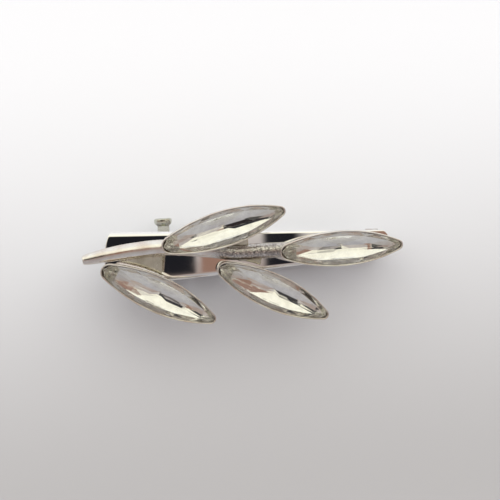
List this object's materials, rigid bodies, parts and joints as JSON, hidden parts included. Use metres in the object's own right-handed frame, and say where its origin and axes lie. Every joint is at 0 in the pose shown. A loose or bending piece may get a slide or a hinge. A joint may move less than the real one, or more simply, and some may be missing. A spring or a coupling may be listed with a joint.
{
  "type": "rhinestone hair clip",
  "caption": "Automatic hair clip: an arched mirror-bright plate with a sprung latch arm, carrying a leafy branch whose leaves are long pointed clear stones in thin metal cups.",
  "frame": {"origin": "under the middle of the clip's length, on the flat underside of the closed arm", "axes": "+X along the clip from the latch end to the hinge end, +Y across it towards the upper leaf, +Z out of the decorated face"},
  "size_m": [0.0409, 0.0161, 0.0125],
  "materials": {
    "plated_steel": "bright nickel plating on pressed steel sheet, mirror smooth",
    "spring_steel": "plated spring steel strip, faint rolling lines",
    "bare_steel": "rivets and pin, satin",
    "plated_casting": "bright plated white-metal casting, slightly uneven, granular along the middle of the stem",
    "solder": "dull soft solder",
    "adhesive": "clear yellowish resin under the stones",
    "foil": "silvered back of the stones",
    "crystal": "clear cut glass, sharp polished facets"
  },
  "bodies": {
    "clip_top": {"top_plate": "plated_steel", "hinge_pin": "bare_steel", "bow_anchor": "spring_steel", "bow_rivet": "bare_steel", "latch_base": "spring_steel", "latch_rivet": "bare_steel", "stem": "plated_casting", "fork_webs": "plated_casting", "mounting_pads": "solder", "cup_upper": "plated_casting", "cup_tip": "plated_casting", "cup_lower_left": "plated_casting", "cup_lower_right": "plated_casting", "glue_upper": "adhesive", "glue_tip": "adhesive", "glue_lower_left": "adhesive", "glue_lower_right": "adhesive", "foil_upper": "foil", "foil_tip": "foil", "foil_lower_left": "foil", "foil_lower_right": "foil", "stone_upper": "crystal", "stone_tip": "crystal", "stone_lower_left": "crystal", "stone_lower_right": "crystal"},
    "arm": {"arm": "plated_steel"},
    "bow": {"bow_spring": "spring_steel"},
    "ear_back": {"latch_ear_back": "spring_steel"},
    "ear_front": {"latch_ear_front": "spring_steel"}
  },
  "joints": [
    {"name": "arm_hinge", "type": "hinge", "parent": "clip_top", "child": "arm", "pos_m": [0.0172, 0, 0.0017], "axis": [0, -1, 0], "range_deg": [0, 75]},
    {"name": "bow_flex", "type": "hinge", "parent": "clip_top", "child": "bow", "pos_m": [0.013, 0, 0.00547], "axis": [0, 1, 0], "range_deg": [0, 4.5], "stiffness_Nm_per_rad": 0.02},
    {"name": "ear_squeeze", "type": "hinge", "parent": "clip_top", "child": "ear_back", "pos_m": [-0.0109, 0.00168, 0.00525], "axis": [-1, 0, 0], "range_deg": [0, 9], "stiffness_Nm_per_rad": 0.02},
    {"name": "ear_front_squeeze", "type": "hinge", "parent": "clip_top", "child": "ear_front", "pos_m": [-0.0109, -0.00168, 0.00525], "axis": [1, 0, 0], "range_deg": [0, 9], "stiffness_Nm_per_rad": 0.02}
  ],
  "couplings": [
    {"joint": "ear_front_squeeze", "follows": "ear_squeeze", "ratio": 1}
  ]
}
